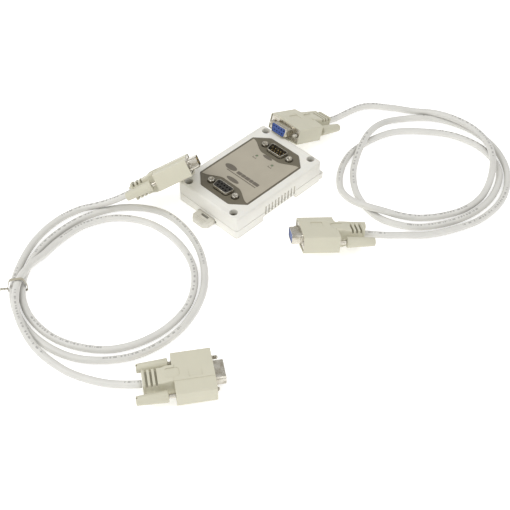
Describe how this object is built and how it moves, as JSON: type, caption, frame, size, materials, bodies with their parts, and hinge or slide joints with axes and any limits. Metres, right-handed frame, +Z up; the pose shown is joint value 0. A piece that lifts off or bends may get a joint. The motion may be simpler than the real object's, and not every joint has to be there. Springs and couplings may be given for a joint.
{
  "type": "serial signal converter with leads",
  "caption": "Flat DIN-rail box with a nine-way D port at each end of its top, a sprung rail latch, and two coiled leads with moulded D plugs and thumbscrews.",
  "frame": {"origin": "on the surface it lies on, under the middle of the converter's outline with its latch tab and lugs, leads not counted", "axes": "+X across the converter, +Y along it away from the latch tab, +Z up out of the ports"},
  "size_m": [0.2257, 0.3893, 0.0484],
  "materials": {
    "case_plastic": "fine satin moulded plastic, warm white",
    "plate_print": "printed dark brown-grey label",
    "panel_print": "printed light taupe label",
    "steel": "nickel-plated steel",
    "board": "green solder mask",
    "chip": "black epoxy package",
    "black_plastic": "black moulded insulator",
    "contact_gold": "gold-plated contact",
    "light_lens": "unlit green-grey light pipe",
    "cable_jacket": "pale grey soft PVC jacket",
    "tie": "pale plastic-covered wire",
    "hood_plastic": "beige moulded PVC with a fine grain",
    "blue_plastic": "blue moulded insulator"
  },
  "bodies": {
    "converter": {"base_housing": "case_plastic", "top_cover": "case_plastic", "label_plate": "plate_print", "label_panel": "panel_print", "cover_screw_1": "steel", "cover_screw_2": "steel", "cover_screw_3": "steel", "cover_screw_4": "steel", "circuit_board": "board", "isolator_block": "chip", "interface_chip": "chip", "driver_chip": "chip", "port_near_shell": "steel", "port_near_insulator": "black_plastic", "port_near_contacts": "contact_gold", "port_near_post_a": "steel", "port_near_post_b": "steel", "port_far_shell": "steel", "port_far_insulator": "black_plastic", "port_far_contacts": "contact_gold", "port_far_post_a": "steel", "port_far_post_b": "steel", "light_pipe_a": "light_lens", "light_pipe_b": "light_lens", "latch_spring": "steel"},
    "rail_latch": {"din_latch": "case_plastic"},
    "lead_left_kit": {"lead_left": "cable_jacket", "twist_tie": "tie", "plug_lean_hood": "hood_plastic", "plug_lean_shell": "steel", "plug_lean_insulator": "black_plastic", "plug_lean_pins": "contact_gold", "plug_near_hood": "hood_plastic", "plug_near_shell": "steel", "plug_near_insulator": "black_plastic", "plug_near_pins": "contact_gold"},
    "lead_right_kit": {"lead_right": "cable_jacket", "plug_far_hood": "hood_plastic", "plug_far_shell": "steel", "plug_far_insulator": "blue_plastic", "plug_side_hood": "hood_plastic", "plug_side_shell": "steel", "plug_side_insulator": "blue_plastic"},
    "plug_near_thumbscrew_a": {"plug_near_screw_a": "hood_plastic"},
    "plug_near_thumbscrew_b": {"plug_near_screw_b": "hood_plastic"},
    "plug_lean_thumbscrew_a": {"plug_lean_screw_a": "hood_plastic"},
    "plug_lean_thumbscrew_b": {"plug_lean_screw_b": "hood_plastic"},
    "plug_far_thumbscrew_a": {"plug_far_screw_a": "hood_plastic"},
    "plug_far_thumbscrew_b": {"plug_far_screw_b": "hood_plastic"},
    "plug_side_thumbscrew_a": {"plug_side_screw_a": "hood_plastic"},
    "plug_side_thumbscrew_b": {"plug_side_screw_b": "hood_plastic"}
  },
  "joints": [
    {"name": "latch_slide", "type": "slide", "parent": "converter", "child": "rail_latch", "axis": [0, -1, 0], "range_m": [0, 0.003], "stiffness_N_per_m": 900, "springref_m": -0.001, "deforming": ["latch_spring"]},
    {"name": "lift_left_lead", "type": "slide", "parent": "converter", "child": "lead_left_kit", "axis": [0, 0, 1], "range_m": [0, 0.05]},
    {"name": "lift_right_lead", "type": "slide", "parent": "converter", "child": "lead_right_kit", "axis": [0, 0, 1], "range_m": [0, 0.05]},
    {"name": "plug_near_screw_a_turn", "type": "hinge", "parent": "lead_left_kit", "child": "plug_near_thumbscrew_a", "pos_m": [0.09994, -0.13427, 0.0081], "axis": [0.5707, 0.8211, 0], "continuous": true},
    {"name": "plug_near_screw_b_turn", "type": "hinge", "parent": "lead_left_kit", "child": "plug_near_thumbscrew_b", "pos_m": [0.12046, -0.14853, 0.0081], "axis": [0.5707, 0.8211, 0], "continuous": true},
    {"name": "plug_lean_screw_a_turn", "type": "hinge", "parent": "lead_left_kit", "child": "plug_lean_thumbscrew_a", "pos_m": [-0.03089, -0.02902, 0.02845], "axis": [0.4775, 0.7948, 0.3746], "continuous": true},
    {"name": "plug_lean_screw_b_turn", "type": "hinge", "parent": "lead_left_kit", "child": "plug_lean_thumbscrew_b", "pos_m": [-0.01611, -0.04418, 0.04175], "axis": [0.4775, 0.7948, 0.3746], "continuous": true},
    {"name": "plug_far_screw_a_turn", "type": "hinge", "parent": "lead_right_kit", "child": "plug_far_thumbscrew_a", "pos_m": [-0.00055, 0.0524, 0.02312], "axis": [-0.0822, -0.9391, 0.3338], "continuous": true},
    {"name": "plug_far_screw_b_turn", "type": "hinge", "parent": "lead_right_kit", "child": "plug_far_thumbscrew_b", "pos_m": [-0.02545, 0.054, 0.02148], "axis": [-0.0822, -0.9391, 0.3338], "continuous": true},
    {"name": "plug_side_screw_a_turn", "type": "hinge", "parent": "lead_right_kit", "child": "plug_side_thumbscrew_a", "pos_m": [0.07821, -0.02402, 0.01725], "axis": [-0.6274, -0.7748, 0.0785], "continuous": true},
    {"name": "plug_side_screw_b_turn", "type": "hinge", "parent": "lead_right_kit", "child": "plug_side_thumbscrew_b", "pos_m": [0.05939, -0.00958, 0.00935], "axis": [-0.6274, -0.7748, 0.0785], "continuous": true}
  ]
}
